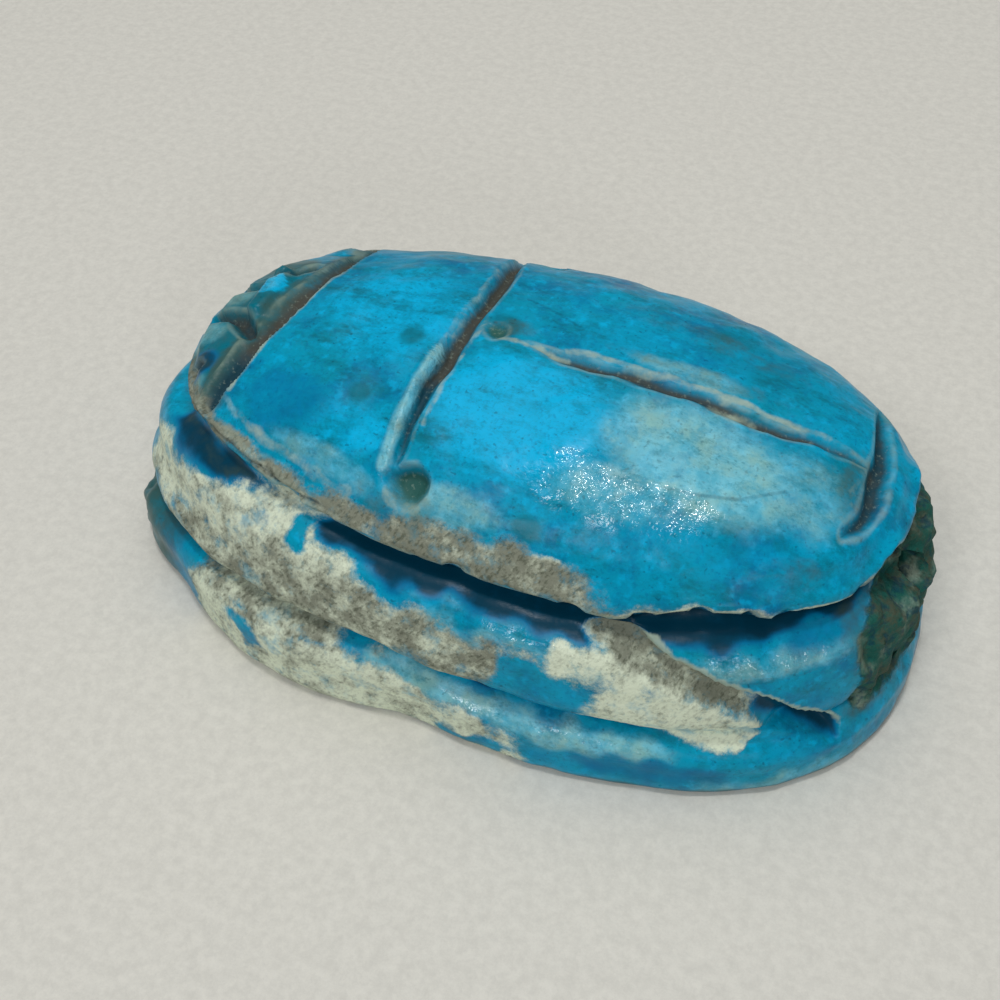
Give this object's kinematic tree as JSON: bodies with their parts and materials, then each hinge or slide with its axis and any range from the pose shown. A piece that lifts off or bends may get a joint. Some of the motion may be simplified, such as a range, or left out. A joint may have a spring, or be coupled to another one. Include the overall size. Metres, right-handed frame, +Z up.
{
  "type": "scarab amulet",
  "caption": "Oval beetle amulet carved from soft stone with a worn turquoise-blue glaze, flat underneath and drilled from head to tail for a cord.",
  "frame": {"origin": "middle of the flat underside", "axes": "+X to the beetle's head, +Y to its left flank, +Z up out of its back"},
  "size_m": [0.045, 0.0274, 0.0156],
  "materials": {
    "glazed_stone": "glossy turquoise glaze, worn to cream and brown stone on edges and bands"
  },
  "bodies": {
    "root": {"scarab": "glazed_stone"}
  },
  "joints": []
}
